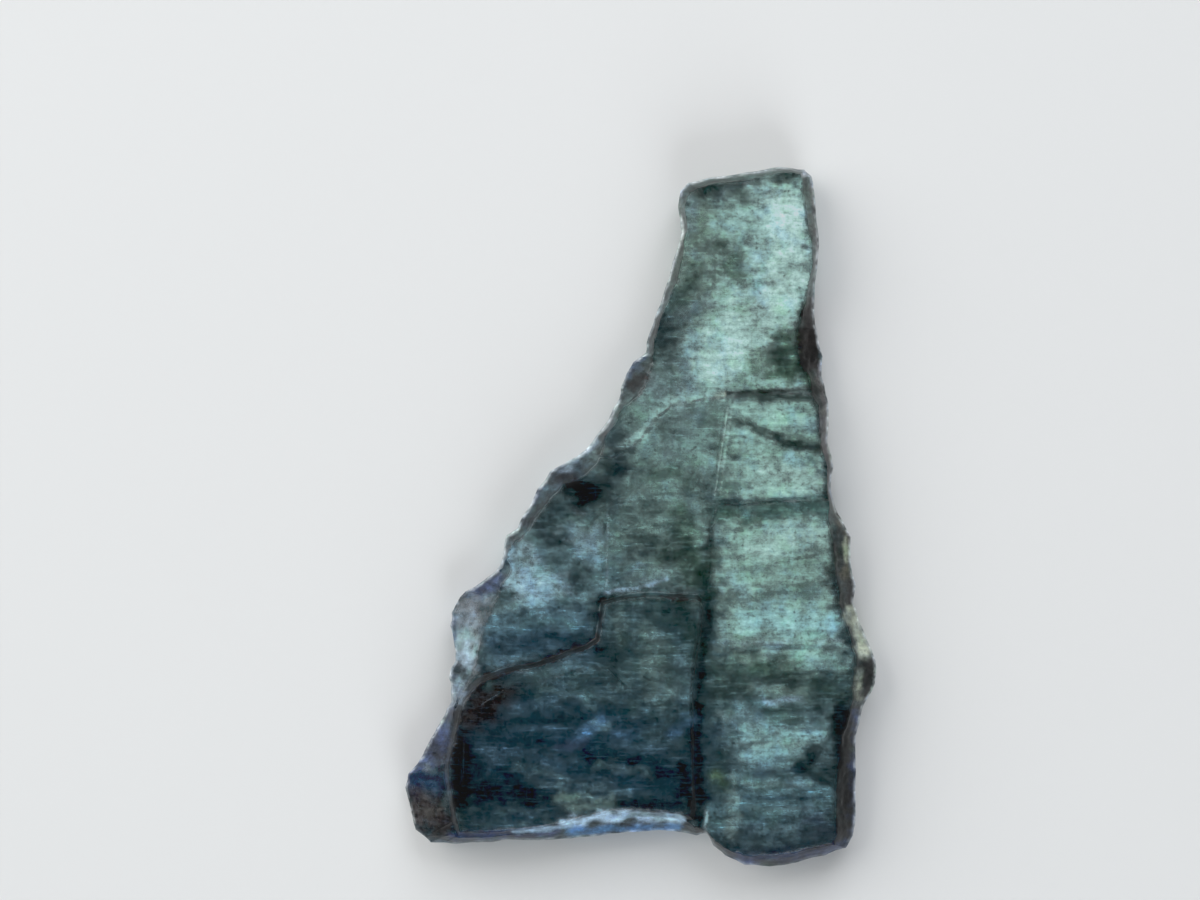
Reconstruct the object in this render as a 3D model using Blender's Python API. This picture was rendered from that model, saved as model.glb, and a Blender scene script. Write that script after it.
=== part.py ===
# A tabular blade of vivianite: one crystal group grown in parallel, lying on its broad back face.
# Frame: metres, +Z out of the broad front face, +Y towards the narrow crown, origin under the box's middle.
# The outline stations and the growth terraces below are in millimetres from the box's lower left corner.

import math
import random

import bmesh
import bpy
from mathutils import Matrix, Vector

MM = 0.001

# Thickness from the back face, at each level of the front face
CROWN_LEVEL = 3.4
MIDDLE_LEVEL = 3.6
STRIP_LEVEL = 3.8
BLOCK_LEVEL = 4.3

# The arch terrace's top falls away to the lower right and dips under the block there
ARCH_LEVEL = 4.255
ARCH_FALL = (0.0156, -0.0272)

# The side faces: share of the local thickness where the blade is widest, and where its undercut starts
RIM_SHARE = 0.56
UNDERCUT_SHARE = 0.27
RIM_SWING = 0.07
UNDERCUT_SWING = 0.05
UNDERCUT_DEPTH = 0.28
BACK_INSET = 0.85
BACK_INSET_SWING = 0.3
SWING_WAVES = ((0.6, 0.9, 0.0), (0.4, 0.37, 1.0))
OVERSHOOT = 0.4

# Small natural unevenness of the broken and grown edges
EDGE_SPLITS = 2
EDGE_JITTER = 0.09
SEED = 41

# Each station is the widest point of the side, then the front edge above it
CROWN = [
    (20.6, 50.0, 21.2, 49.9), (20.8, 51.3, 21.7, 51.1), (21.5, 52.0, 22.2, 51.4), (23.3, 52.4, 23.6, 51.8),
    (25.8, 52.8, 25.9, 52.0), (27.8, 53.1, 27.8, 52.4), (29.2, 53.2, 29.0, 52.6), (30.4, 53.0, 30.0, 52.5),
    (31.0, 52.4, 30.2, 51.8),
]
RIGHT_EDGE = [
    (31.3, 51.1, 30.4, 50.6), (31.4, 49.4, 30.6, 49.3), (31.6, 47.0, 30.9, 47.2), (31.5, 45.3, 31.0, 45.6),
    (31.3, 42.9, 30.5, 42.9), (31.3, 41.2, 30.0, 41.1), (31.5, 40.2, 29.7, 40.0), (31.9, 38.7, 29.8, 38.8),
    (31.8, 37.2, 30.8, 36.9), (32.1, 36.0, 31.0, 36.0), (32.3, 34.5, 31.4, 34.8), (32.3, 32.2, 31.6, 32.1),
    (32.7, 30.4, 32.1, 30.3), (32.5, 28.6, 32.1, 28.6), (32.8, 27.5, 32.2, 27.3), (33.4, 26.4, 32.2, 26.2),
    (34.0, 25.1, 32.4, 24.9), (34.0, 23.0, 32.6, 23.0), (34.4, 21.4, 32.8, 21.5), (34.2, 20.2, 32.9, 20.2),
    (34.6, 18.8, 33.3, 18.9), (35.3, 17.2, 33.9, 17.6), (35.9, 15.7, 34.3, 16.1), (35.9, 14.5, 34.0, 14.8),
    (35.6, 13.3, 34.1, 13.7), (34.9, 12.1, 33.8, 12.0), (34.4, 10.0, 33.2, 10.0), (34.4, 7.3, 32.8, 7.3),
    (34.4, 4.3, 32.7, 4.5), (34.2, 2.4, 32.8, 2.7),
]
FOOT = [
    (33.6, 1.4, 32.5, 1.9), (32.0, 0.8, 31.4, 1.6), (29.9, 0.3, 29.5, 1.2), (27.7, 0.0, 27.5, 1.0),
    (25.8, 0.1, 25.6, 1.1), (24.3, 0.8, 24.2, 1.6), (23.3, 1.6, 23.4, 2.2), (22.9, 2.5, 22.8, 2.9),
    (22.2, 2.3, 22.0, 3.1), (20.9, 2.5, 20.8, 3.8), (18.7, 2.7, 18.7, 4.0), (16.1, 2.5, 16.1, 4.0),
    (13.8, 2.2, 14.0, 3.6), (11.5, 2.0, 11.9, 3.0), (8.9, 2.0, 9.3, 2.6), (6.7, 1.8, 6.9, 2.4),
    (4.0, 1.6, 4.3, 2.3), (2.0, 1.8, 3.7, 2.6),
]
LEFT_EDGE = [
    (0.8, 2.8, 3.5, 3.8), (0.4, 4.5, 3.3, 5.2), (0.0, 6.1, 3.0, 6.8), (0.2, 7.2, 3.0, 8.0),
    (1.3, 8.6, 3.2, 9.2), (2.2, 10.3, 3.4, 10.4), (3.0, 11.7, 3.7, 11.8), (3.5, 12.6, 4.0, 12.9),
    (3.4, 14.0, 4.6, 13.9), (3.4, 14.9, 5.2, 14.7), (3.8, 15.7, 5.6, 15.6), (3.7, 17.0, 5.8, 16.6),
    (3.4, 18.3, 6.1, 17.8), (3.5, 19.4, 6.5, 18.9), (4.2, 20.6, 7.0, 20.0), (5.2, 21.4, 7.2, 21.1),
    (6.5, 22.3, 7.4, 22.0), (7.2, 23.0, 7.6, 22.9), (7.5, 24.4, 7.9, 24.2), (7.7, 25.3, 8.4, 24.8),
    (8.5, 25.8, 9.2, 25.4), (9.4, 27.4, 10.1, 26.8), (10.0, 28.8, 11.1, 28.2), (11.0, 30.1, 12.1, 29.1),
    (12.3, 30.9, 13.7, 29.8), (13.6, 31.7, 14.5, 30.7), (14.5, 32.8, 15.0, 32.0), (15.4, 34.0, 15.8, 33.5),
    (16.1, 35.4, 16.6, 35.0), (16.3, 36.4, 17.8, 35.9), (16.8, 37.6, 18.4, 36.8), (17.3, 38.4, 18.7, 37.8),
    (18.2, 39.1, 18.8, 38.8), (18.4, 40.4, 18.9, 40.1), (18.8, 41.6, 19.3, 41.3), (19.4, 43.0, 19.9, 42.8),
    (19.9, 44.6, 20.6, 44.3), (20.2, 45.9, 20.9, 45.7), (20.5, 46.9, 21.1, 46.9), (20.9, 48.1, 21.3, 48.0),
    (20.8, 49.0, 21.3, 49.0),
]

# Growth terraces of the front face; the first two run on past the outline
MIDDLE_TERRACE = [
    (44.0, 35.9), (29.2, 35.9), (26.9, 35.8), (25.1, 35.6), (22.4, 35.4), (21.2, 35.2), (20.2, 34.9),
    (19.3, 34.2), (18.6, 33.3), (17.9, 32.4), (16.9, 31.6), (15.7, 31.0), (11.0, 32.2), (-8.0, 33.0),
    (-8.0, -8.0), (44.0, -8.0),
]
STRIP_TERRACE = [
    (43.0, 28.0), (32.0, 27.9), (29.9, 27.8), (27.3, 27.7), (25.4, 27.5), (23.8, 27.6), (23.3, 26.0),
    (23.0, 24.5), (23.1, 21.9), (23.0, 18.9), (22.6, 15.9), (22.3, 12.9), (22.4, 11.4), (22.6, 8.4),
    (22.6, 5.4), (22.8, 3.0), (22.9, -7.0), (43.0, -7.0),
]
BLOCK_TERRACE = [
    (15.1, 20.2), (16.8, 20.6), (18.7, 20.8), (20.6, 20.7), (22.2, 20.6), (22.7, 20.1), (22.6, 18.1),
    (22.2, 15.9), (21.9, 13.7), (22.0, 11.4), (21.9, 8.4), (22.0, 5.6), (21.8, 3.9), (20.6, 4.2), (18.7, 4.4),
    (16.1, 4.4), (14.0, 4.0), (11.9, 3.4), (9.3, 3.0), (6.9, 2.8), (4.3, 2.8), (3.9, 3.8), (3.7, 5.2),
    (3.4, 6.8), (3.4, 8.0), (3.6, 9.2), (3.9, 10.4), (4.2, 11.8), (4.5, 12.8), (5.1, 13.6), (5.8, 14.3),
    (7.4, 15.0), (9.7, 15.4), (11.9, 16.1), (13.8, 16.8), (14.7, 17.4), (14.9, 18.9),
]
ARCH_TERRACE = [
    (4.6, 9.8), (5.2, 11.3), (6.0, 12.5), (7.6, 13.6), (9.4, 14.0), (11.4, 14.5), (13.2, 15.1), (15.4, 15.3),
    (18.8, 12.0), (19.6, 8.0), (18.6, 5.6), (14.6, 4.9), (10.4, 4.0), (5.2, 3.7), (4.6, 6.4),
]
TERRACE_RUN = 0.5
BLOCK_RUN = 0.42
MIDDLE_ROOT = 2.0
STRIP_ROOT = 2.2
BLOCK_ROOT = 2.4
ARCH_ROOT = 2.6

# Low growth ridges on the front face: level, height, width and the points they follow
RIDGES = [
    (MIDDLE_LEVEL, 0.10, 0.45, [(24.5, 35.2), (24.1, 32.6), (23.8, 30.6), (23.5, 28.2)]),
    (STRIP_LEVEL, 0.06, 0.90, [(25.0, 23.5), (27.4, 23.8), (29.8, 23.7), (31.8, 24.0)]),
    (STRIP_LEVEL, 0.08, 1.00, [(24.2, 20.9), (26.0, 21.2), (29.0, 21.1), (32.2, 21.6)]),
    (STRIP_LEVEL, 0.06, 0.90, [(24.4, 16.4), (26.6, 16.8), (29.4, 16.8)]),
    (STRIP_LEVEL, 0.10, 1.00, [(24.4, 13.9), (26.4, 14.1), (29.0, 14.5), (33.0, 14.8)]),
    (STRIP_LEVEL, 0.10, 1.10, [(24.6, 9.7), (26.8, 9.9), (29.4, 10.3), (32.6, 10.4)]),
    (STRIP_LEVEL, 0.08, 0.90, [(25.0, 6.2), (27.2, 6.3), (29.8, 6.6), (32.2, 6.6)]),
    (STRIP_LEVEL, 0.07, 1.00, [(24.6, 3.5), (27.0, 3.6), (30.6, 4.1)]),
    (CROWN_LEVEL, 0.06, 0.90, [(22.4, 50.0), (25.4, 50.4), (27.8, 50.9), (29.8, 51.0)]),
    (CROWN_LEVEL, 0.06, 0.80, [(21.0, 41.2), (24.4, 41.3), (28.6, 41.8)]),
    (MIDDLE_LEVEL, 0.08, 0.50, [(15.3, 26.8), (15.4, 24.6), (15.2, 21.4)]),
    (MIDDLE_LEVEL, 0.07, 0.90, [(7.6, 18.6), (10.0, 19.4), (12.8, 19.6)]),
    (BLOCK_LEVEL, 0.08, 0.90, [(9.6, 9.3), (13.0, 8.2), (15.2, 7.6), (18.4, 7.4)]),
    (BLOCK_LEVEL, 0.07, 0.80, [(15.8, 19.3), (18.4, 19.7), (21.6, 19.5)]),
    (BLOCK_LEVEL, 0.07, 0.90, [(17.0, 12.9), (19.0, 12.6), (21.2, 12.9)]),
]
RIDGE_FOOT = 0.3

# Cross-section of a ridge or cleft: its foot and crest as shares of its half width, and its tapered ends
RAIL_FOOT_SHARE = 1.5
RAIL_CREST_SHARE = 0.35
RAIL_END_SHARE = 0.35
RAIL_END_DIP = 0.4
RAIL_TAPER = 0.9

# Clefts in the front face: level, depth, width and the points they follow
CLEFTS = [
    (MIDDLE_LEVEL, 0.22, 0.55, [(24.9, 33.6), (26.4, 33.2), (27.7, 32.8), (28.6, 32.3), (29.8, 32.0),
                                (31.6, 31.9)]),
    (STRIP_LEVEL, 0.34, 0.60, [(23.2, 26.4), (22.9, 24.6), (22.8, 22.4), (22.9, 20.2), (22.7, 17.6),
                               (22.3, 15.4), (22.1, 12.6), (22.3, 9.4), (22.4, 6.2), (22.5, 3.4)]),
    (STRIP_LEVEL, 0.16, 0.60, [(28.0, 11.1), (30.4, 9.2), (32.4, 9.0)]),
    (BLOCK_LEVEL, 0.14, 0.55, [(7.4, 8.6), (10.4, 7.8), (12.6, 6.8), (15.4, 6.0)]),
]
CLEFT_RISE = 0.25

# Chips broken out of the edges: centre x, y, z, half length along the edge, half width across it, half height
# and the edge's turn in degrees
CHIPS = [
    (24.6, 52.8, 3.5, 1.8, 0.40, 0.6, 9), (31.3, 50.4, 3.4, 1.6, 0.45, 0.7, 95),
    (20.4, 45.8, 3.5, 2.6, 0.45, 0.8, 72), (19.0, 42.2, 3.4, 1.4, 0.40, 0.7, 70),
    (17.2, 37.5, 3.5, 1.5, 0.75, 0.8, 55), (14.4, 32.2, 3.6, 1.3, 0.60, 0.7, 50),
    (11.6, 30.3, 3.6, 1.3, 0.70, 0.8, 36), (9.0, 26.5, 3.7, 1.1, 0.50, 0.7, 60),
    (7.3, 22.6, 3.7, 1.0, 0.60, 0.8, 55), (5.2, 21.0, 3.7, 1.5, 0.80, 0.8, 33),
    (3.6, 17.2, 3.5, 1.7, 0.90, 0.9, 92), (3.2, 14.2, 3.3, 0.9, 0.60, 0.8, 88),
    (1.3, 8.9, 3.4, 1.8, 0.80, 0.8, 62), (0.9, 4.3, 3.3, 1.8, 1.00, 0.9, 104),
    (7.6, 1.9, 3.6, 2.3, 0.50, 0.8, 4), (12.6, 2.1, 3.9, 2.2, 0.60, 0.9, 3),
    (18.2, 2.7, 4.0, 2.4, 0.70, 0.9, 2), (22.5, 2.3, 4.1, 0.9, 0.50, 1.4, 90),
    (26.0, 0.2, 3.7, 1.3, 0.50, 0.7, 172), (30.2, 0.4, 3.7, 1.6, 0.60, 0.7, 10),
    (34.4, 5.4, 3.9, 2.2, 0.60, 0.9, 90), (34.7, 11.4, 3.9, 1.4, 0.60, 0.8, 76),
    (35.7, 15.2, 4.0, 1.5, 0.80, 0.9, 98), (34.5, 19.9, 3.7, 1.2, 0.60, 0.9, 102),
    (33.8, 23.9, 3.9, 1.7, 0.70, 0.8, 94), (32.8, 28.9, 3.8, 1.4, 0.40, 0.7, 92),
    (32.1, 33.6, 3.7, 1.6, 0.45, 0.7, 90), (31.4, 39.8, 3.5, 2.4, 0.90, 0.7, 94),
    (34.0, 8.8, 0.2, 1.9, 0.70, 0.7, 90), (33.8, 26.2, 0.1, 1.6, 0.70, 0.6, 118),
    (2.9, 12.2, 0.2, 1.7, 0.80, 0.7, 64), (12.6, 31.2, 0.1, 1.6, 0.70, 0.6, 40),
    (10.2, 2.0, 0.2, 2.0, 0.70, 0.7, 2), (20.6, 47.4, 0.1, 1.8, 0.60, 0.6, 82),
]
CHIP_ROUGHNESS = 0.18

# Shallow steps where thin cleavage sheets came off the back face: depth, then an outline
BACK_SHEETS = [
    (0.16, [(37.0, 31.0), (27.4, 30.2), (24.8, 25.6), (25.6, 20.4), (29.2, 17.2), (38.0, 16.2)]),
    (0.22, [(-2.0, 7.2), (4.6, 8.0), (9.2, 5.8), (12.6, 4.6), (14.2, -2.0), (-2.0, -2.0)]),
    (0.14, [(19.2, 56.0), (23.4, 50.2), (27.2, 48.4), (34.0, 49.2), (36.0, 56.0)]),
    (0.18, [(9.0, 33.5), (13.8, 26.4), (18.8, 29.6), (21.2, 34.2), (18.4, 40.6), (12.0, 41.0)]),
]

BACK_SHEET_CLEAR = 1.0

# How far the plate that the terraces stand on reaches past the outline before it is trimmed to it
PLATE_MARGIN = 12.0


def clear_scene():
    for obj in list(bpy.data.objects):
        bpy.data.objects.remove(obj, do_unlink=True)


def crystal_material():
    material = bpy.data.materials.new("vivianite")
    material.use_nodes = True
    shader = material.node_tree.nodes["Principled BSDF"]
    shader.inputs["Base Color"].default_value = (0.10, 0.24, 0.27, 1.0)
    shader.inputs["Roughness"].default_value = 0.16
    shader.inputs["IOR"].default_value = 1.6
    shader.inputs["Transmission Weight"].default_value = 0.6
    shader.inputs["Metallic"].default_value = 0.0
    return material


def split_stations(rows):
    # Points added between the stations, each moved a little, give the edges their fine unevenness
    rng = random.Random(SEED)
    found = []
    for index, row in enumerate(rows):
        following = rows[(index + 1) % len(rows)]
        found.append(tuple(row))
        for part in range(1, EDGE_SPLITS):
            share = part / EDGE_SPLITS
            between = [a + (b - a) * share for a, b in zip(row, following)]
            found.append(tuple(value + rng.uniform(-EDGE_JITTER, EDGE_JITTER) for value in between))
    return found


STATIONS = split_stations(CROWN + RIGHT_EDGE + FOOT + LEFT_EDGE)
CENTRE_X = (min(row[0] for row in STATIONS) + max(row[0] for row in STATIONS)) / 2
CENTRE_Y = (min(row[1] for row in STATIONS) + max(row[1] for row in STATIONS)) / 2


def place(x, y, z):
    return Vector(((x - CENTRE_X) * MM, (y - CENTRE_Y) * MM, z * MM))


def inside(x, y, outline):
    hit = False
    for (ax, ay), (bx, by) in zip(outline, outline[1:] + outline[:1]):
        if (ay > y) != (by > y) and x < ax + (y - ay) / (by - ay) * (bx - ax):
            hit = not hit
    return hit


def front_level(x, y):
    if inside(x, y, STRIP_TERRACE):
        return STRIP_LEVEL
    if inside(x, y, MIDDLE_TERRACE):
        return MIDDLE_LEVEL
    return CROWN_LEVEL


def inward(points, index):
    # Unit vector into a clockwise outline, square to the line between the neighbours of the point
    before = points[index - 1]
    after = points[(index + 1) % len(points)]
    run = Vector((after[0] - before[0], after[1] - before[1]))
    return Vector((run.y, -run.x)).normalized()


def new_object(name, bm, material=None):
    bmesh.ops.recalc_face_normals(bm, faces=bm.faces)
    mesh = bpy.data.meshes.new(name)
    bm.to_mesh(mesh)
    bm.free()
    obj = bpy.data.objects.new(name, mesh)
    bpy.context.scene.collection.objects.link(obj)
    if material:
        mesh.materials.append(material)
    return obj


def as_tool(obj):
    obj.hide_render = True
    obj.display_type = "WIRE"
    return obj


def combine(target, tool, operation):
    modifier = target.modifiers.new(tool.name, "BOOLEAN")
    modifier.operation = operation
    modifier.solver = "EXACT"
    modifier.use_self = operation != "INTERSECT"
    modifier.object = as_tool(tool)


def bridge(bm, rings):
    loops = [[bm.verts.new(point) for point in ring] for ring in rings]
    count = len(loops[0])
    for lower, upper in zip(loops, loops[1:]):
        for index in range(count):
            following = (index + 1) % count
            bm.faces.new((lower[index], lower[following], upper[following], upper[index]))
    bm.faces.new(loops[0])
    bm.faces.new(list(reversed(loops[-1])))
    bmesh.ops.triangulate(bm, faces=bm.faces)


def blade(material):
    # Rings from below the back face, over the undercut and the widest line, to above the front edge
    rim_line = [(row[0], row[1]) for row in STATIONS]
    below, undercut, rim, above = [], [], [], []
    for index, (rim_x, rim_y, edge_x, edge_y) in enumerate(STATIONS):
        level = front_level(edge_x, edge_y)
        swing = sum(size * math.sin(index * rate + start) for size, rate, start in SWING_WAVES)
        rim_height = level * (RIM_SHARE + RIM_SWING * swing)
        undercut_height = level * (UNDERCUT_SHARE + UNDERCUT_SWING * swing)
        normal = inward(rim_line, index)
        back = BACK_INSET + BACK_INSET_SWING * swing
        slope = (back - UNDERCUT_DEPTH) / undercut_height
        lowest = back + slope * OVERSHOOT
        below.append(place(rim_x + normal.x * lowest, rim_y + normal.y * lowest, -OVERSHOOT))
        undercut.append(
            place(rim_x + normal.x * UNDERCUT_DEPTH, rim_y + normal.y * UNDERCUT_DEPTH, undercut_height)
        )
        rim.append(place(rim_x, rim_y, rim_height))
        reach = (level + OVERSHOOT - rim_height) / (level - rim_height)
        above.append(
            place(rim_x + (edge_x - rim_x) * reach, rim_y + (edge_y - rim_y) * reach, level + OVERSHOOT)
        )
    bm = bmesh.new()
    bridge(bm, [below, undercut, rim, above])
    return new_object("vivianite_crystal", bm, material)


def prism(name, outline, bottom, top, run=0.0, fall=(0.0, 0.0)):
    # A plate whose walls lean out on the way down, by the run for each unit of height; its top may slope
    lower, upper = [], []
    for index, (x, y) in enumerate(outline):
        normal = inward(outline, index)
        crest = top - x * fall[0] - y * fall[1]
        reach = run * (crest - bottom)
        upper.append(place(x, y, crest))
        lower.append(place(x - normal.x * reach, y - normal.y * reach, bottom))
    bm = bmesh.new()
    bridge(bm, [lower, upper])
    return new_object(name, bm)


def clockwise(outline):
    area = sum(ax * by - bx * ay for (ax, ay), (bx, by) in zip(outline, outline[1:] + outline[:1]))
    return outline if area < 0 else outline[::-1]


def terraced_plate():
    left = -PLATE_MARGIN
    right = 2 * CENTRE_X + PLATE_MARGIN
    bottom = -PLATE_MARGIN
    top = 2 * CENTRE_Y + PLATE_MARGIN
    span = [(left, bottom), (left, top), (right, top), (right, bottom)]
    plate = prism("plate", span, 0.0, CROWN_LEVEL)
    middle = prism("middle_terrace", clockwise(MIDDLE_TERRACE), MIDDLE_ROOT, MIDDLE_LEVEL, TERRACE_RUN)
    strip = prism("strip_terrace", clockwise(STRIP_TERRACE), STRIP_ROOT, STRIP_LEVEL, TERRACE_RUN)
    combine(plate, middle, "UNION")
    combine(plate, strip, "UNION")
    return plate


def with_ends(points):
    # Two more points a short way in from the ends, where the rail reaches its full height
    found = [Vector(point) for point in points]
    for spot, near in ((0, 1), (-1, -2)):
        step = (found[near] - found[spot]).normalized() * RAIL_TAPER
        found.insert(1 if spot == 0 else len(found) - 1, found[spot] + step)
    return found


def rail(bm, level, height, width, points, foot):
    # A low bar that tapers to nothing at both ends; a negative height makes a cleft's cutter
    line = with_ends(points)
    rings = []
    for index, spot in enumerate(line):
        along = (line[min(index + 1, len(line) - 1)] - line[max(index - 1, 0)]).normalized()
        across = Vector((-along.y, along.x))
        at_end = index in (0, len(line) - 1)
        half = width / 2 * (RAIL_END_SHARE if at_end else 1.0)
        crest = level + height * (-RAIL_END_DIP if at_end else 1.0)
        root = level - math.copysign(foot, height)
        wide = half * RAIL_FOOT_SHARE
        narrow = half * RAIL_CREST_SHARE
        profile = [(-wide, root), (-narrow, crest), (narrow, crest), (wide, root)]
        rings.append([place(spot.x + across.x * side, spot.y + across.y * side, z) for side, z in profile])
    loops = [[bm.verts.new(point) for point in ring] for ring in rings]
    for first, second in zip(loops, loops[1:]):
        for index in range(4):
            following = (index + 1) % 4
            bm.faces.new((first[index], first[following], second[following], second[index]))
    bm.faces.new(loops[0])
    bm.faces.new(list(reversed(loops[-1])))


def rails(name, rows, sign, foot):
    bm = bmesh.new()
    for level, height, width, points in rows:
        rail(bm, level, sign * height, width, points, foot)
    bmesh.ops.triangulate(bm, faces=bm.faces)
    return new_object(name, bm)


def edge_chips():
    # Each cutter has few flat faces, so a chip is a group of flat facets
    rng = random.Random(SEED + 1)
    bm = bmesh.new()
    for x, y, z, length, width, height, turn in CHIPS:
        cutter = bmesh.ops.create_icosphere(bm, subdivisions=1, radius=1.0)
        for vert in cutter["verts"]:
            grown = vert.co * (1.0 + rng.uniform(-CHIP_ROUGHNESS, CHIP_ROUGHNESS))
            spot = Matrix.Rotation(math.radians(turn), 3, "Z") @ (grown * Vector((length, width, height)))
            vert.co = place(x + spot.x, y + spot.y, z + spot.z)
    return new_object("edge_chips", bm)


def crystal():
    body = blade(crystal_material())
    block = prism("block_terrace", clockwise(BLOCK_TERRACE), BLOCK_ROOT, BLOCK_LEVEL, BLOCK_RUN)
    arch = prism("arch_terrace", clockwise(ARCH_TERRACE), ARCH_ROOT, ARCH_LEVEL, TERRACE_RUN, ARCH_FALL)
    combine(body, terraced_plate(), "INTERSECT")
    combine(body, block, "UNION")
    combine(body, arch, "UNION")
    combine(body, rails("growth_ridges", RIDGES, 1, RIDGE_FOOT), "UNION")
    combine(body, rails("clefts", CLEFTS, -1, CLEFT_RISE), "DIFFERENCE")
    combine(body, edge_chips(), "DIFFERENCE")
    for number, (depth, outline) in enumerate(BACK_SHEETS, start=1):
        sheet = prism(f"back_sheet_{number}", clockwise(outline), -BACK_SHEET_CLEAR, depth)
        combine(body, sheet, "DIFFERENCE")
    return body


clear_scene()
crystal()
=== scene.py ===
import math

import bmesh
import bpy
import numpy as np
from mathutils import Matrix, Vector, noise
from mathutils.geometry import delaunay_2d_cdt
from mathutils.kdtree import KDTree


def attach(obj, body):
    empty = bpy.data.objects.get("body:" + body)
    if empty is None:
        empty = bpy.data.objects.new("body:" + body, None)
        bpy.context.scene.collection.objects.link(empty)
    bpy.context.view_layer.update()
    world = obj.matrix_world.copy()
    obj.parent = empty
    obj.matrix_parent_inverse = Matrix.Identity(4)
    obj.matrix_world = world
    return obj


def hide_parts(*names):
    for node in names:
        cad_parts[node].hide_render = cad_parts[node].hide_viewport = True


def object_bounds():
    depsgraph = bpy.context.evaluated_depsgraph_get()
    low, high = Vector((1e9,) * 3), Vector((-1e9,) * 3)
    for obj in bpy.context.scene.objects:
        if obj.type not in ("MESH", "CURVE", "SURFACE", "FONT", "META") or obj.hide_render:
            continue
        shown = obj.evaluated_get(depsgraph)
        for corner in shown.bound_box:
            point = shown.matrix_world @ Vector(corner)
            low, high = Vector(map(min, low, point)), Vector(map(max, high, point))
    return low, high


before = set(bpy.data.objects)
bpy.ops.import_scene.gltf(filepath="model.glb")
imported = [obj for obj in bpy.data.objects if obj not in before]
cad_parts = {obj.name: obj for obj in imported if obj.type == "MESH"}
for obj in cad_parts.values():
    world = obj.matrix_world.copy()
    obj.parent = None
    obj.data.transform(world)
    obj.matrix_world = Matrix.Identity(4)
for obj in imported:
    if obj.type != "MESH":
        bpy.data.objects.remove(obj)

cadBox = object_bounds()
cadNode = "vivianite_crystal"
mm = 0.001

# What a user would change on the crystal's surface; lengths in millimetres
surface = {
    "frontSide": 0.17,          # side of a triangle on the broad front face
    "edgeSide": 0.20,           # round the edges
    "backSide": 0.36,
    "weldGap": 0.02,            # slivers of the cut solid that are closed up
    "flatAngle": 0.12,          # degrees, faces this close to level with each other are one face
    "frontTilt": 0.9,           # how far a face looks up to count as front
    "levelTilt": 0.985,         # how far one that is level looks up
    "sideTilt": 0.02,           # how far a side face looks up or down
    "rimHeights": (1.0, 3.0),   # between these heights runs the outline's widest line
    "topHeight": 2.0,           # above this is the upper side
    "scatter": 0.18,            # how far the inner points of a face stray from an even lattice, in sides
    "edgeGap": 0.5,             # how near they come to its border, in sides
    "rowHeight": 0.866,         # height of a lattice triangle of side 1
    "closeness": 1e-7,          # points this near are one point in the triangulation
    "batch": 2000,              # points looked at in one go, to spare memory
    "softening": 1,             # passes that take the razor edge off
    "softeningShare": 0.22,
    "easing": 30,               # passes that ease the growth steps of the front face
    "easingShare": 0.5,
    "easingFrom": 0.7,          # how far in from the outline that starts
    "seed": 7,
}

# Depth of the relief that is cut into the solid's flat faces, in millimetres
relief = {
    "Swell Depth": 0.09,        # slow waves of the cleavage face
    "Swell Scale": 0.22,        # waves to a millimetre
    "Growth Depth": 0.035,      # near-level growth lines
    "Growth Scale": 0.9,
    "Growth Stretch": 0.10,     # how much longer than wide the lines are
    "Fibre Depth": 0.010,       # upright fibres that cross them
    "Fibre Scale": 1.8,
    "Fibre Stretch": 0.08,
    "Layer Depth": 0.13,        # cleavage sheets that end in the side faces
    "Layer Scale": 2.6,
    "Layer Stretch": 0.12,
    "Hackle Depth": 0.12,       # broken roughness of the side faces
    "Hackle Scale": 0.9,
    "Shell Depth": 0.09,        # shell-shaped hollows of the side faces
    "Shell Scale": 0.5,
    "Pit Depth": 0.05,          # small pits in the front face
    "Pit Scale": 0.42,
    "Crease Angle": 0.42,       # radians; edges sharper than this keep a hard edge
    "Back Share": 0.5,          # how much of the front's relief the back face has
    "Seed": 3.7,
}

# Detail, roughness and place in the noise of each wave
reliefShapes = {
    "swell": (2.0, 0.55, 0.0), "growth": (4.0, 0.6, 1.0), "fibre": (3.0, 0.6, 2.0),
    "layer": (3.0, 0.6, 4.0), "hackle": (5.0, 0.62, 3.0),
    "pit": (0.16, 0.04),        # from its rim to its floor, in cells
    "tilts": (0.72, 0.97),      # a face that looks up or down by the first to the second becomes a broad one
}


def linear(hexColor):
    values = [int(hexColor[place:place + 2], 16) / 255 for place in (1, 3, 5)]
    return [v / 12.92 if v <= 0.04045 else ((v + 0.055) / 1.055) ** 2.4 for v in values]


# Meshing of the crystal

def mergedSolid(name):
    bm = bmesh.new()
    bm.from_mesh(bpy.data.objects[name].data)
    bmesh.ops.remove_doubles(bm, verts=bm.verts, dist=surface["weldGap"] * mm)
    bmesh.ops.dissolve_degenerate(bm, edges=bm.edges, dist=surface["weldGap"] * mm)
    bmesh.ops.dissolve_limit(
        bm, angle_limit=math.radians(surface["flatAngle"]), verts=bm.verts, edges=bm.edges,
        use_dissolve_boundaries=False,
    )
    return bm


def sideFor(face):
    tilt = surface["frontTilt"]
    kind = "frontSide" if face.normal.z > tilt else "backSide" if face.normal.z < -tilt else "edgeSide"
    return surface[kind] * mm


def splitEdges(bm):
    for edge in list(bm.edges):
        size = min(sideFor(face) for face in edge.link_faces)
        vert = edge.verts[0]
        for left in range(math.ceil(edge.calc_length() / size), 1, -1):
            added, spot = bmesh.utils.edge_split(edge, vert, 1 / left)
            edge = max((edge, added), key=lambda e: e.calc_length())
            vert = spot


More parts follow.
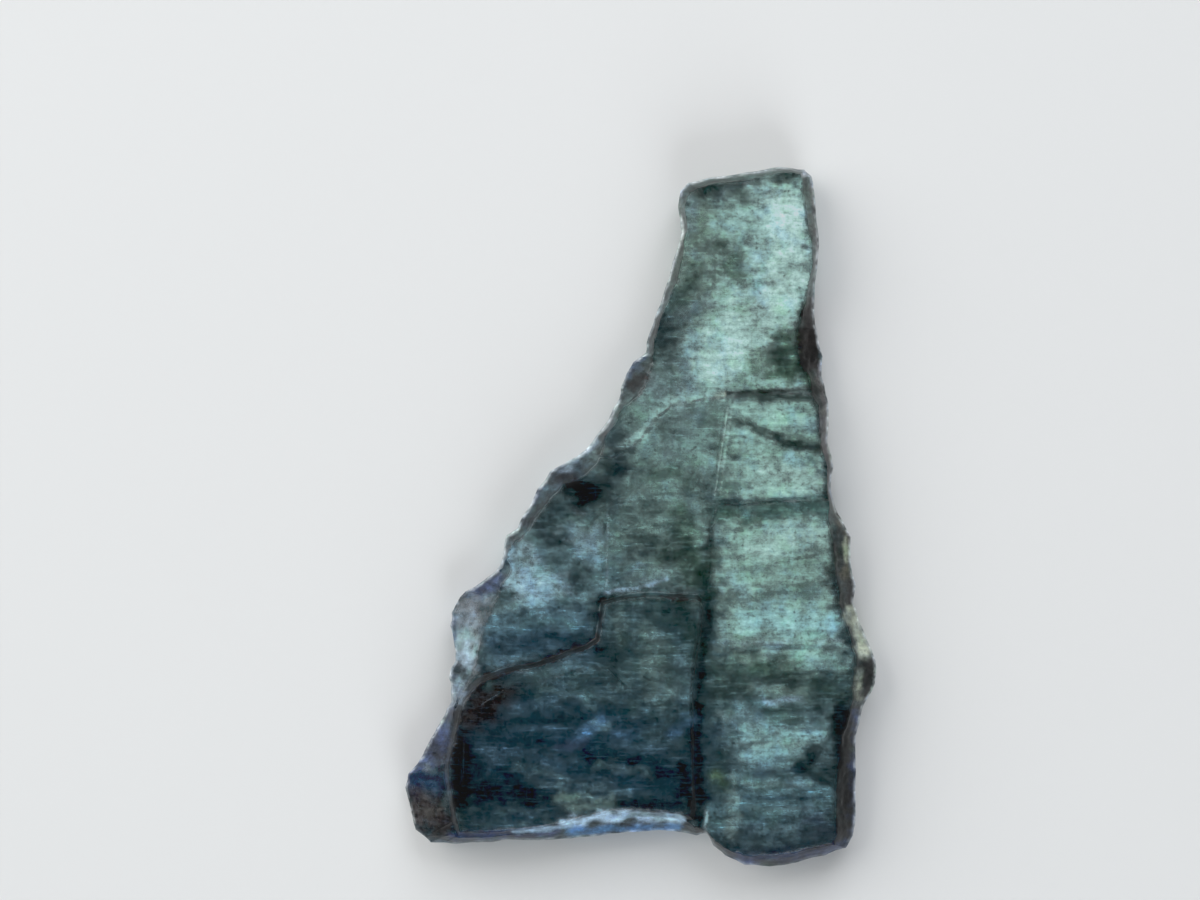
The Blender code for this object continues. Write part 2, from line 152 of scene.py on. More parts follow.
def crossings(points, ring):
    # True where a point is inside the ring, by counting the ring's sides that a level line from it meets
    a = ring
    b = np.roll(ring, -1, axis=0)
    hit = np.zeros(len(points), bool)
    for start in range(0, len(points), surface["batch"]):
        end = start + surface["batch"]
        p = points[start:end, None, :]
        spans = (a[None, :, 1] > p[..., 1]) != (b[None, :, 1] > p[..., 1])
        rise = np.where(b[:, 1] == a[:, 1], 1.0, b[:, 1] - a[:, 1])
        at = a[None, :, 0] + (p[..., 1] - a[None, :, 1]) / rise * (b[:, 0] - a[:, 0])
        hit[start:end] = (spans & (p[..., 0] < at)).sum(axis=1) % 2 == 1
    return hit


def farFrom(points, ring, gap):
    a = ring
    run = np.roll(ring, -1, axis=0) - ring
    square = np.maximum((run ** 2).sum(axis=1), 1e-12)
    keep = np.zeros(len(points), bool)
    for start in range(0, len(points), surface["batch"]):
        end = start + surface["batch"]
        p = points[start:end, None, :]
        share = np.clip(((p - a) * run).sum(axis=2) / square, 0, 1)
        nearest = a + share[..., None] * run
        keep[start:end] = ((p - nearest) ** 2).sum(axis=2).min(axis=1) > gap ** 2
    return keep


def latticeInside(ring, size, rng):
    low = ring.min(axis=0)
    high = ring.max(axis=0)
    rows = np.arange(low[1], high[1], size * surface["rowHeight"])
    columns = np.arange(low[0], high[0] + size, size)
    if len(rows) < 2 or len(columns) < 2:
        return np.empty((0, 2))
    x, y = np.meshgrid(columns, rows)
    x = x + (np.arange(len(rows)) % 2)[:, None] * size / 2
    points = np.stack([x.ravel(), y.ravel()], axis=1)
    points += rng.uniform(-surface["scatter"], surface["scatter"], points.shape) * size
    points = points[crossings(points, ring)]
    return points[farFrom(points, ring, size * surface["edgeGap"])] if len(points) else points


def fillFaces(bm):
    # Each flat face becomes even triangles that meet its neighbours point to point
    rng = np.random.default_rng(surface["seed"])
    bm.verts.index_update()
    points = [tuple(vert.co) for vert in bm.verts]
    triangles = []
    for face in bm.faces:
        normal = face.normal
        across = normal.orthogonal().normalized()
        up = normal.cross(across)
        corners = [vert.index for vert in face.verts]
        origin = face.verts[0].co
        flat = [((v.co - origin).dot(across) / mm, (v.co - origin).dot(up) / mm) for v in face.verts]
        ring = np.array(flat)
        inner = latticeInside(ring, sideFor(face) / mm, rng)
        count = len(corners)
        if count == 3 and not len(inner):
            triangles.append(corners)
            continue
        known = {}
        chain = []
        spots = []
        names = []
        for number, corner in enumerate(corners):
            if corner not in known:
                known[corner] = len(spots)
                spots.append(Vector(flat[number]))
                names.append(corner)
            chain.append(known[corner])
        sides = list({tuple(sorted((chain[i], chain[(i + 1) % count]))) for i in range(count)})
        for x, y in inner:
            names.append(len(points))
            points.append(tuple(origin + across * (x * mm) + up * (y * mm)))
            spots.append(Vector((x, y)))
        found, _, faces, sources, _, _ = delaunay_2d_cdt(spots, sides, [], 1, surface["closeness"])
        keep = [True] * len(faces)
        if len(set(chain)) < count:
            # a face with a hole: triangles inside the hole go
            flatFound = np.array([(spot.x, spot.y) for spot in found])
            keep = crossings(flatFound[np.array(faces)].mean(axis=1), ring)
        for kept, corner in zip(keep, faces):
            if kept:
                triangles.append([names[sources[i][0]] for i in corner])
    return points, triangles


def gapTo(bm, wanted):
    # For each vertex, how far it is in plan from the edges that are wanted
    spots = {vert for edge in bm.edges if wanted(edge) for vert in edge.verts}
    tree = KDTree(len(spots))
    for number, vert in enumerate(spots):
        tree.insert((vert.co.x, vert.co.y, 0), number)
    tree.balance()
    return [tree.find((vert.co.x, vert.co.y, 0))[2] / mm for vert in bm.verts]


def isRim(edge):
    # The widest line of the side, where the faces turn from looking up to looking down
    tilts = sorted(face.normal.z for face in edge.link_faces)
    low, high = surface["rimHeights"]
    turns = tilts[0] < -surface["sideTilt"] and tilts[-1] > surface["sideTilt"]
    return turns and low < edge.verts[0].co.z / mm < high


def isFrontEdge(edge):
    tilts = sorted(face.normal.z for face in edge.link_faces)
    turns = tilts[0] < surface["frontTilt"] and tilts[-1] > surface["levelTilt"]
    return turns and edge.verts[0].co.z > surface["topHeight"] * mm


def evenMesh(name):
    bm = mergedSolid(name)
    splitEdges(bm)
    bm.normal_update()
    points, triangles = fillFaces(bm)
    bm.free()
    mesh = bpy.data.meshes.new("crystalSurface")
    mesh.from_pydata(points, [], triangles)
    bm = bmesh.new()
    bm.from_mesh(mesh)
    bmesh.ops.delete(bm, geom=[vert for vert in bm.verts if not vert.link_faces], context="VERTS")
    openEdges = [edge for edge in bm.edges if len(edge.link_faces) != 2]
    print("surface mesh:", len(bm.faces), "triangles,", len(openEdges), "open or doubled edges")
    bmesh.ops.recalc_face_normals(bm, faces=bm.faces)
    rimGap = gapTo(bm, isRim)
    frontGap = gapTo(bm, isFrontEdge)
    top = surface["topHeight"] * mm
    inner = [vert for vert, gap in zip(bm.verts, rimGap) if gap > surface["easingFrom"] and vert.co.z > top]
    for _ in range(surface["easing"]):
        bmesh.ops.smooth_vert(bm, verts=inner, factor=surface["easingShare"], use_axis_z=True)
    for _ in range(surface["softening"]):
        bmesh.ops.smooth_vert(
            bm, verts=bm.verts, factor=surface["softeningShare"],
            use_axis_x=True, use_axis_y=True, use_axis_z=True,
        )
    bm.to_mesh(mesh)
    bm.free()
    mesh.attributes.new("rimGap", "FLOAT", "POINT").data.foreach_set("value", rimGap)
    mesh.attributes.new("frontGap", "FLOAT", "POINT").data.foreach_set("value", frontGap)
    return mesh


# One function adds every node

def addNode(tree, kind, inputs=(), out=0, **settings):
    # Inputs go by name or number, or in order: another node's output is linked, any other value is set
    made = tree.nodes.new(kind)
    for key, value in settings.items():
        setattr(made, key, value)
    for key, value in inputs.items() if isinstance(inputs, dict) else enumerate(inputs):
        if isinstance(value, bpy.types.NodeSocket):
            tree.links.new(value, made.inputs[key])
        else:
            made.inputs[key].default_value = value
    return made.outputs[out] if len(made.outputs) else None


# Relief by Geometry Nodes

def reliefTree(material):
    tree = bpy.data.node_groups.new("crystalRelief", "GeometryNodeTree")
    tree.interface.new_socket("Geometry", in_out="INPUT", socket_type="NodeSocketGeometry")
    for name in relief:
        tree.interface.new_socket(name, in_out="INPUT", socket_type="NodeSocketFloat")
    tree.interface.new_socket("Geometry", in_out="OUTPUT", socket_type="NodeSocketGeometry")
    given = tree.nodes.new("NodeGroupInput").outputs
    position = addNode(tree, "GeometryNodeInputPosition")
    inMm = addNode(tree, "ShaderNodeVectorMath", {0: position, 3: 1 / mm}, operation="SCALE")
    normal = addNode(tree, "GeometryNodeInputNormal")

    def stretched(stretch, turn=0.0):
        # The place in millimetres, turned by some degrees and then stretched along x, y and z
        turned = addNode(tree, "ShaderNodeVectorRotate", {"Vector": inMm, "Angle": math.radians(turn)},
                         rotation_type="Z_AXIS")
        scale = addNode(tree, "ShaderNodeCombineXYZ", stretch)
        return addNode(tree, "ShaderNodeVectorMath", (turned, scale), operation="MULTIPLY")

    def grain(place, detail, roughness, offset):
        wave = addNode(tree, "ShaderNodeMath", (given["Seed"], offset), operation="ADD")
        return addNode(tree, "ShaderNodeTexNoise", {
            "Vector": place, "W": wave, "Scale": 1.0, "Detail": detail, "Roughness": roughness,
        }, noise_dimensions="4D")

    def summed(waves, share):
        # Each wave times its depth, added up, and kept to its share of the surface
        total = None
        for wave, name in waves:
            part = addNode(tree, "ShaderNodeMath", (wave, given[name]), operation="MULTIPLY")
            if total is not None:
                part = addNode(tree, "ShaderNodeMath", (total, part), operation="ADD")
            total = part
        return addNode(tree, "ShaderNodeMath", (total, share), operation="MULTIPLY")

    upward = addNode(tree, "ShaderNodeSeparateXYZ", (normal,), out=2)
    downward = addNode(tree, "ShaderNodeMath", (upward, -1.0), operation="MULTIPLY")
    front = addNode(tree, "ShaderNodeMapRange", (upward, *reliefShapes["tilts"]))
    back = addNode(tree, "ShaderNodeMapRange", (downward, *reliefShapes["tilts"]))
    lessBack = addNode(tree, "ShaderNodeMath", (back, given["Back Share"]), operation="MULTIPLY")
    broad = addNode(tree, "ShaderNodeMath", (front, lessBack), operation="ADD")
    both = addNode(tree, "ShaderNodeMath", (front, back), operation="ADD")
    side = addNode(tree, "ShaderNodeMath", (1.0, both), operation="SUBTRACT")

    level, upright, along = [
        addNode(tree, "ShaderNodeMath", (given[name + " Scale"], given[name + " Stretch"]),
                operation="MULTIPLY")
        for name in ("Growth", "Fibre", "Layer")
    ]
    swell = grain(stretched((given["Swell Scale"],) * 3), *reliefShapes["swell"])
    growth = grain(stretched((level, given["Growth Scale"], 0.3), -4.0), *reliefShapes["growth"])
    fibre = grain(stretched((given["Fibre Scale"], upright, 0.3), 2.0), *reliefShapes["fibre"])
    layer = grain(stretched((along, along, given["Layer Scale"])), *reliefShapes["layer"])
    hacklePlace = stretched((given["Hackle Scale"], given["Hackle Scale"], 0.5))
    hackle = grain(hacklePlace, *reliefShapes["hackle"])
    shellPlace = stretched((given["Shell Scale"],) * 3)
    pitPlace = stretched((given["Pit Scale"], given["Pit Scale"], 0.05))
    shell, pit = [
        addNode(tree, "ShaderNodeTexVoronoi", {"Vector": cells, "Scale": 1.0, "Randomness": 1.0},
                out="Distance", feature="F1")
        for cells in (shellPlace, pitPlace)
    ]
    pit = addNode(tree, "ShaderNodeMapRange", (pit, *reliefShapes["pit"]), interpolation_type="SMOOTHSTEP")

    onBroad = summed((
        (swell, "Swell Depth"), (growth, "Growth Depth"), (fibre, "Fibre Depth"), (pit, "Pit Depth")), broad)
    onSides = summed(((hackle, "Hackle Depth"), (shell, "Shell Depth"), (layer, "Layer Depth")), side)
    depth = addNode(tree, "ShaderNodeMath", (onBroad, onSides), operation="ADD")
    inward = addNode(tree, "ShaderNodeMath", (depth, -mm), operation="MULTIPLY")
    offset = addNode(tree, "ShaderNodeVectorMath", {0: normal, 3: inward}, operation="SCALE")

    moved = addNode(tree, "GeometryNodeSetPosition", {"Geometry": given["Geometry"], "Offset": offset})
    smooth = addNode(tree, "GeometryNodeSetShadeSmooth", {"Geometry": moved})
    angle = addNode(tree, "GeometryNodeInputMeshEdgeAngle", out="Unsigned Angle")
    crease = addNode(tree, "ShaderNodeMath", (angle, given["Crease Angle"]), operation="GREATER_THAN")
    crisp = addNode(tree, "GeometryNodeSetShadeSmooth", {
        "Geometry": smooth, "Selection": crease, "Shade Smooth": False,
    }, domain="EDGE")
    whole = addNode(tree, "GeometryNodeRealizeInstances", {"Geometry": crisp})
    dressed = addNode(tree, "GeometryNodeSetMaterial", {"Geometry": whole, "Material": material})
    addNode(tree, "NodeGroupOutput", {"Geometry": dressed})
    return tree


def withRelief(obj, material):
    tree = reliefTree(material)
    modifier = obj.modifiers.new("relief", "NODES")
    modifier.node_group = tree
    for item in tree.interface.items_tree:
        if item.in_out == "INPUT" and item.name in relief:
            modifier[item.identifier] = relief[item.name]
    graph = bpy.context.evaluated_depsgraph_get()
    mesh = bpy.data.meshes.new_from_object(obj.evaluated_get(graph), depsgraph=graph)
    obj.modifiers.remove(modifier)
    obj.data = mesh


# Colours of the crystal's body as the eye sees them, with painted highlights and painted shade at some steps
# and edges.
# Places are in millimetres from the outline's lower left corner.

tints = {
    "crownGreen": "#6f8b7f", "paleTeal": "#bde0d7", "softTeal": "#9cc1ba", "dullTeal": "#3c5854",
    "leafGreen": "#41684f", "greyTeal": "#72968e", "mistTeal": "#7a979b", "jadePale": "#8eb2a9",
    "jade": "#8bb0a5", "stripTeal": "#99bfb5", "stripBlue": "#99c8c8", "bandTeal": "#44706a",
    "deepTeal": "#45655f", "lowTeal": "#668f96", "lowBlue": "#507a84", "footBlue": "#3c5962",
    "ink": "#0a1011", "wedgeBrown": "#1c1d15", "slateTeal": "#3e5e62", "slateDark": "#2c4046",
    "steelBlue": "#3b6078", "streakBlue": "#4377a6", "nightBlue": "#1f3b50", "nightDark": "#141d22",
    "mist": "#a2c3cc", "violetDark": "#39476a",
    "umber": "#2c2523", "stepGlint": "#b9c0a9", "skyPale": "#a3c6de",
    "glowGreen": "#5a803a", "warmGrey": "#5e5656", "darkGreen": "#1b3026", "cyanGrey": "#6a9ba8",
    "edgeHighlight": "#8fa6b4", "edgeMist": "#6c7d8a", "edgeViolet": "#2b3855", "edgeNight": "#1a2a48",
    "edgeBlue": "#10244a", "bevelHighlight": "#b4d4ec", "edgeBrown": "#120e0d", "edgeCreamHighlight": "#a4ac99",
    "edgeOchre": "#494538", "edgeBlack": "#07090a", "edgeTeal": "#2c3f3c",
}

# Each zone is a soft streak: its two ends, half width, softness of its edge, tint and strength
zones = [
    ((26.0, 50.0), (25.5, 38.0), 5.5, 2.0, "softTeal", 0.95),    # crown
    ((22.4, 50.5), (21.6, 43.0), 2.4, 2.0, "crownGreen", 0.9),
    ((20.2, 42.0), (19.8, 38.0), 1.5, 1.2, "dullTeal", 0.95),
    ((20.5, 34.0), (19.5, 26.0), 5.4, 2.4, "greyTeal", 0.95),    # left middle
    ((18.6, 36.6), (21.0, 35.8), 1.2, 1.2, "mistTeal", 0.7),
    ((28.0, 33.4), (28.0, 29.5), 3.4, 1.2, "jade", 0.95),        # right middle
    ((28.0, 24.5), (28.5, 17.0), 4.4, 1.1, "jade", 0.95),        # right strip, top to bottom
    ((24.6, 14.5), (32.0, 14.0), 1.6, 1.2, "deepTeal", 0.9),
    ((26.0, 11.0), (31.4, 10.6), 1.6, 1.0, "lowTeal", 0.85),
    ((25.6, 8.0), (30.6, 8.0), 1.6, 1.0, "lowTeal", 0.8),
    ((25.2, 5.0), (31.4, 5.0), 1.8, 1.2, "lowBlue", 0.95),
    ((25.0, 2.2), (32.0, 2.2), 1.6, 1.2, "footBlue", 0.95),
    ((9.5, 24.0), (14.0, 21.4), 3.2, 1.6, "lowTeal", 0.9),       # mottled left
    ((8.0, 17.6), (13.6, 17.8), 2.4, 1.4, "steelBlue", 0.95),
    ((18.2, 18.4), (18.4, 13.4), 3.6, 1.2, "slateTeal", 0.95),   # block
    ((7.0, 9.2), (19.4, 8.4), 4.6, 1.6, "nightBlue", 0.95),      # lower left
    ((19.6, 12.2), (20.4, 10.4), 2.0, 1.4, "slateTeal", 0.55),

    ((28.7, 49.4), (28.7, 44.4), 1.8, 1.2, "paleTeal", 0.95),    # light and dark in the crown
    ((26.4, 48.6), (27.2, 47.2), 0.9, 0.9, "softTeal", 0.6),
    ((25.6, 41.4), (23.4, 38.2), 1.9, 1.4, "paleTeal", 0.7),
    ((28.2, 42.4), (27.0, 38.4), 1.3, 1.2, "paleTeal", 0.6),
    ((24.4, 46.2), (25.2, 45.0), 0.8, 0.8, "leafGreen", 0.75),
    ((21.8, 44.6), (21.2, 43.2), 0.7, 0.9, "leafGreen", 0.5),
    ((22.6, 50.8), (25.2, 51.0), 0.8, 0.8, "dullTeal", 0.6),
    ((22.4, 51.4), (29.8, 52.2), 0.30, 0.35, "darkGreen", 0.6),
    ((21.3, 50.4), (21.6, 48.2), 0.5, 0.4, "mistTeal", 0.6),
    ((24.6, 49.6), (23.9, 47.8), 0.6, 0.7, "jadePale", 0.4),
    ((20.6, 41.6), (23.0, 42.6), 0.5, 0.5, "mistTeal", 0.5),
    ((26.6, 45.2), (30.4, 45.4), 0.25, 0.3, "dullTeal", 0.5),
    ((30.2, 47.0), (30.5, 46.9), 0.16, 0.15, "ink", 0.7),
    ((31.0, 42.4), (30.6, 38.2), 0.85, 0.5, "wedgeBrown", 0.97), # dark wedge on the right
    ((29.8, 40.6), (30.1, 39.2), 0.8, 0.5, "wedgeBrown", 0.95),
    ((28.6, 39.9), (29.2, 37.8), 0.9, 0.8, "leafGreen", 0.85),
    ((26.6, 37.6), (30.4, 38.2), 0.7, 0.7, "leafGreen", 0.75),
    ((30.3, 37.8), (30.9, 36.4), 0.5, 0.5, "darkGreen", 0.7),
    ((25.6, 37.0), (30.6, 37.2), 0.40, 0.5, "leafGreen", 0.6),
    # dark line of the crown's step face: painted shade
    ((25.6, 35.4), (31.0, 35.7), 0.34, 0.30, "darkGreen", 0.85),
    ((24.0, 35.8), (31.3, 36.3), 0.13, 0.10, "umber", 0.9),
    # glint at the left end of the step: a painted highlight
    ((23.7, 35.7), (24.2, 35.8), 0.16, 0.10, "stepGlint", 0.95),
    ((23.9, 35.9), (20.4, 35.4), 0.32, 0.35, "softTeal", 0.75),  # painted highlight where light catches the curved ledge
    ((20.4, 35.4), (17.8, 32.8), 0.32, 0.35, "softTeal", 0.75),
    ((17.8, 32.8), (14.6, 31.2), 0.32, 0.35, "softTeal", 0.75),

    ((24.8, 33.9), (26.4, 33.6), 0.30, 0.35, "darkGreen", 0.75), # jagged cleft
    ((26.4, 33.6), (28.2, 32.5), 0.36, 0.35, "darkGreen", 0.8),
    ((28.2, 32.5), (29.6, 32.0), 0.30, 0.30, "darkGreen", 0.8),
    ((29.6, 32.0), (31.6, 31.6), 0.26, 0.25, "darkGreen", 0.85),
    ((27.4, 30.0), (31.2, 29.2), 1.0, 0.9, "paleTeal", 0.55),
    ((24.4, 29.6), (30.4, 28.6), 0.5, 0.5, "stripTeal", 0.6),
    ((25.8, 34.6), (30.8, 33.6), 0.6, 0.6, "stripTeal", 0.6),
    ((24.5, 34.8), (23.5, 28.2), 0.07, 0.07, "paleTeal", 0.8),
    ((24.8, 34.8), (23.9, 28.2), 0.05, 0.06, "paleTeal", 0.6),
    ((21.0, 33.4), (20.4, 32.0), 0.9, 0.9, "mistTeal", 0.5),
    ((22.4, 31.0), (22.6, 29.4), 0.7, 0.7, "jadePale", 0.4),
    ((18.0, 30.6), (18.6, 27.4), 0.8, 0.9, "dullTeal", 0.5),
    ((15.9, 33.2), (16.2, 30.0), 1.0, 0.9, "slateDark", 0.85),
    ((16.0, 30.0), (16.4, 26.6), 1.1, 0.9, "slateDark", 0.6),
    ((12.4, 29.4), (13.8, 28.2), 1.1, 0.7, "ink", 0.97),         # dark pocket
    ((13.8, 28.2), (15.4, 28.6), 0.8, 0.8, "ink", 0.7),
    ((9.2, 26.8), (10.4, 25.6), 0.7, 0.5, "nightDark", 0.85),
    ((11.0, 26.4), (12.2, 24.8), 0.5, 0.5, "darkGreen", 0.6),
    ((10.6, 24.4), (11.6, 24.8), 0.35, 0.4, "nightDark", 0.6),
    ((13.4, 23.0), (12.8, 20.8), 0.7, 0.8, "slateDark", 0.6),
    ((17.4, 24.8), (21.0, 23.2), 1.2, 1.1, "darkGreen", 0.6),
    ((20.9, 26.6), (22.2, 22.4), 0.9, 0.8, "leafGreen", 0.65),
    ((20.8, 24.8), (22.6, 21.8), 0.7, 0.8, "darkGreen", 0.55),
    ((17.4, 22.0), (19.6, 22.4), 0.5, 0.5, "mistTeal", 0.5),
    ((17.2, 23.8), (18.6, 24.2), 0.5, 0.5, "slateDark", 0.5),
    ((8.5, 23.3), (9.8, 20.9), 1.0, 0.8, "mist", 0.85),
    ((10.6, 22.2), (11.8, 21.4), 0.6, 0.6, "mist", 0.5),
    ((13.4, 25.6), (14.8, 24.2), 0.8, 0.8, "mist", 0.45),
    ((15.5, 26.8), (15.4, 21.4), 0.05, 0.06, "mist", 0.7),

    ((23.8, 27.8), (32.0, 28.1), 0.12, 0.12, "nightBlue", 0.7),  # step across the strip
    ((23.8, 27.0), (31.8, 27.3), 0.75, 0.5, "bandTeal", 0.9),
    ((24.2, 26.6), (26.6, 26.2), 0.5, 0.5, "leafGreen", 0.55),
    ((27.0, 24.8), (31.2, 25.2), 0.9, 0.9, "paleTeal", 0.45),
    ((26.0, 23.6), (29.6, 24.2), 0.35, 0.5, "paleTeal", 0.45),
    ((24.4, 22.4), (26.2, 20.8), 0.9, 0.9, "stripTeal", 0.5),
    ((27.0, 20.6), (31.4, 21.4), 0.4, 0.5, "bandTeal", 0.35),
    ((26.0, 18.9), (32.4, 18.4), 0.9, 0.7, "stripBlue", 0.8),
    ((24.2, 17.1), (33.0, 17.3), 0.16, 0.2, "mist", 0.5),
    ((24.4, 16.7), (32.6, 16.8), 0.14, 0.2, "steelBlue", 0.4),
    ((26.6, 15.2), (29.4, 15.6), 0.7, 0.6, "leafGreen", 0.6),    # bands of the lower strip
    ((30.2, 16.0), (32.8, 15.8), 0.6, 0.6, "stripBlue", 0.5),
    ((23.8, 13.2), (26.6, 13.2), 0.6, 0.6, "darkGreen", 0.45),
    ((29.6, 13.6), (33.4, 13.2), 0.6, 0.6, "darkGreen", 0.6),
    ((26.4, 13.8), (30.0, 13.4), 0.35, 0.4, "jade", 0.45),
    ((27.4, 12.6), (30.0, 12.9), 0.12, 0.28, "skyPale", 0.65),
    ((27.4, 11.9), (31.2, 12.2), 0.22, 0.2, "darkGreen", 0.75),
    ((28.6, 11.4), (30.0, 11.2), 0.5, 0.35, "deepTeal", 0.85),
    ((24.2, 11.6), (27.0, 11.0), 0.35, 0.4, "stripBlue", 0.5),
    ((26.0, 10.2), (31.6, 10.0), 0.55, 0.5, "stripBlue", 0.9),
    ((25.8, 8.7), (29.8, 8.9), 0.35, 0.35, "stripBlue", 0.65),
    ((31.4, 9.2), (30.0, 7.6), 0.55, 0.4, "nightDark", 0.85),
    ((30.0, 7.6), (31.8, 6.8), 0.5, 0.4, "nightDark", 0.7),
    ((25.8, 7.3), (29.6, 7.5), 0.16, 0.2, "nightBlue", 0.6),
    ((25.8, 6.6), (30.8, 6.4), 0.22, 0.25, "stripBlue", 0.5),
    ((25.4, 5.5), (31.4, 5.4), 0.14, 0.15, "nightBlue", 0.85),
    ((25.6, 4.6), (30.8, 4.7), 0.2, 0.25, "lowTeal", 0.6),
    ((26.6, 3.2), (29.4, 3.0), 0.3, 0.35, "lowTeal", 0.5),
    ((30.8, 3.4), (32.2, 2.4), 0.7, 0.7, "violetDark", 0.45),
    ((24.6, 0.9), (32.6, 1.3), 0.5, 0.4, "nightDark", 0.7),
    ((25.0, 7.0), (24.7, 3.0), 0.38, 0.4, "stripTeal", 0.4),
    ((23.5, 7.5), (24.1, 6.4), 0.45, 0.55, "glowGreen", 0.55),
    ((24.2, 8.8), (24.0, 8.0), 0.5, 0.45, "darkGreen", 0.7),
    ((32.4, 24.2), (32.8, 20.0), 0.45, 0.4, "ink", 0.8),
    ((31.8, 31.8), (31.9, 28.4), 0.25, 0.25, "nightDark", 0.7),
    ((23.0, 20.4), (22.3, 12.5), 0.42, 0.35, "ink", 0.92),       # line between the block and the strip
    ((22.3, 12.5), (22.4, 3.0), 0.42, 0.35, "ink", 0.92),
    ((23.1, 26.0), (22.9, 20.4), 0.45, 0.5, "darkGreen", 0.75),
    ((22.9, 4.4), (22.8, 2.8), 0.12, 0.10, "mist", 0.85),

    ((15.4, 20.9), (17.8, 21.3), 0.12, 0.14, "skyPale", 0.7),    # block
    ((17.8, 21.3), (19.9, 21.9), 0.12, 0.14, "skyPale", 0.7),
    ((15.0, 20.4), (22.6, 20.5), 0.22, 0.25, "darkGreen", 0.8),
    ((14.7, 20.2), (14.6, 16.9), 0.5, 0.4, "nightDark", 0.7),
    ((18.8, 17.6), (19.6, 13.6), 0.9, 0.9, "greyTeal", 0.5),
    ((16.4, 19.4), (16.8, 17.0), 0.35, 0.35, "greyTeal", 0.4),
    ((21.0, 19.8), (22.0, 16.8), 0.7, 0.6, "darkGreen", 0.75),
    ((15.6, 17.2), (16.2, 14.2), 0.5, 0.5, "slateDark", 0.7),
    ((20.8, 16.0), (21.6, 13.2), 0.5, 0.5, "cyanGrey", 0.4),
    ((7.0, 18.6), (12.4, 19.2), 0.7, 0.6, "cyanGrey", 0.55),     # blue of the left
    ((7.2, 19.8), (10.6, 20.2), 0.4, 0.4, "stripBlue", 0.4),
    ((9.0, 17.4), (12.6, 17.6), 0.5, 0.5, "nightBlue", 0.7),
    ((6.2, 16.2), (9.4, 16.0), 0.45, 0.45, "cyanGrey", 0.45),
    ((4.2, 12.6), (6.4, 14.6), 0.35, 0.3, "ink", 0.95),          # arch
    ((6.4, 14.6), (11.4, 16.1), 0.30, 0.3, "ink", 0.85),
    ((11.4, 16.1), (14.6, 17.4), 0.28, 0.3, "ink", 0.8),
    ((10.0, 15.0), (13.6, 15.2), 0.4, 0.5, "cyanGrey", 0.5),
    ((5.2, 11.8), (7.4, 13.2), 1.3, 0.9, "umber", 0.97),
    ((4.2, 10.0), (4.8, 5.6), 0.9, 0.6, "ink", 0.92),
    ((8.6, 12.4), (11.4, 12.8), 0.5, 0.5, "steelBlue", 0.6),
    ((9.6, 11.2), (13.0, 11.5), 0.25, 0.3, "nightDark", 0.7),
    ((13.2, 10.0), (14.8, 11.2), 0.36, 0.45, "streakBlue", 0.9),
    ((20.4, 10.4), (21.9, 11.3), 0.34, 0.4, "streakBlue", 0.8),
    ((7.6, 10.6), (11.6, 10.9), 0.25, 0.3, "steelBlue", 0.6),
    ((6.6, 8.6), (9.6, 8.8), 0.5, 0.5, "steelBlue", 0.7),
    ((11.6, 9.3), (13.6, 9.6), 0.35, 0.35, "violetDark", 0.6),
    ((16.0, 9.6), (19.5, 9.0), 0.30, 0.35, "steelBlue", 0.7),
    ((15.6, 12.6), (17.6, 12.0), 0.4, 0.4, "slateTeal", 0.6),
    ((5.4, 6.4), (9.8, 5.6), 0.8, 0.6, "ink", 0.9),
    ((13.6, 8.6), (17.8, 8.2), 0.35, 0.4, "ink", 0.8),
    ((20.9, 7.6), (21.8, 4.6), 0.6, 0.5, "ink", 0.95),
    ((8.8, 7.9), (12.0, 6.9), 0.26, 0.5, "cyanGrey", 0.5),
    ((12.0, 6.9), (17.0, 5.6), 0.26, 0.5, "cyanGrey", 0.55),
    ((9.6, 6.9), (13.4, 5.9), 0.20, 0.4, "cyanGrey", 0.4),
    ((14.8, 8.0), (18.6, 7.4), 0.3, 0.35, "cyanGrey", 0.55),
    ((12.2, 5.3), (15.8, 5.0), 0.45, 0.4, "greyTeal", 0.85),
    ((16.4, 4.9), (20.6, 5.0), 0.40, 0.4, "ink", 0.85),
    ((5.0, 3.9), (11.6, 4.0), 0.4, 0.4, "nightBlue", 0.7),
    ((13.6, 13.0), (14.0, 12.2), 0.26, 0.35, "cyanGrey", 0.6),   # small pale and blue tufts
    ((14.4, 11.0), (15.4, 10.6), 0.24, 0.3, "cyanGrey", 0.6),
    ((17.2, 10.8), (19.4, 11.2), 0.24, 0.35, "steelBlue", 0.8),
    ((7.8, 12.0), (9.6, 12.2), 0.24, 0.35, "steelBlue", 0.7),
    ((12.2, 13.2), (15.6, 13.0), 0.22, 0.35, "cyanGrey", 0.45),
    ((10.6, 8.4), (12.8, 8.7), 0.24, 0.35, "steelBlue", 0.7),
    ((15.8, 10.3), (17.4, 10.0), 0.20, 0.3, "streakBlue", 0.7),
    ((19.6, 41.0), (20.4, 38.4), 0.9, 0.9, "slateDark", 0.6),
    ((27.8, 39.2), (29.6, 38.2), 0.7, 0.8, "darkGreen", 0.5),
    ((26.4, 9.4), (30.4, 9.5), 0.25, 0.4, "stripTeal", 0.5),
    ((19.2, 33.6), (20.6, 32.8), 0.5, 0.6, "dullTeal", 0.6),     # mottles of the left middle
    ((17.2, 27.8), (18.6, 28.6), 0.4, 0.5, "jadePale", 0.4),
    ((21.8, 28.8), (23.0, 27.8), 0.5, 0.6, "dullTeal", 0.6),
    ((19.0, 29.6), (20.4, 30.2), 0.4, 0.5, "leafGreen", 0.6),
]
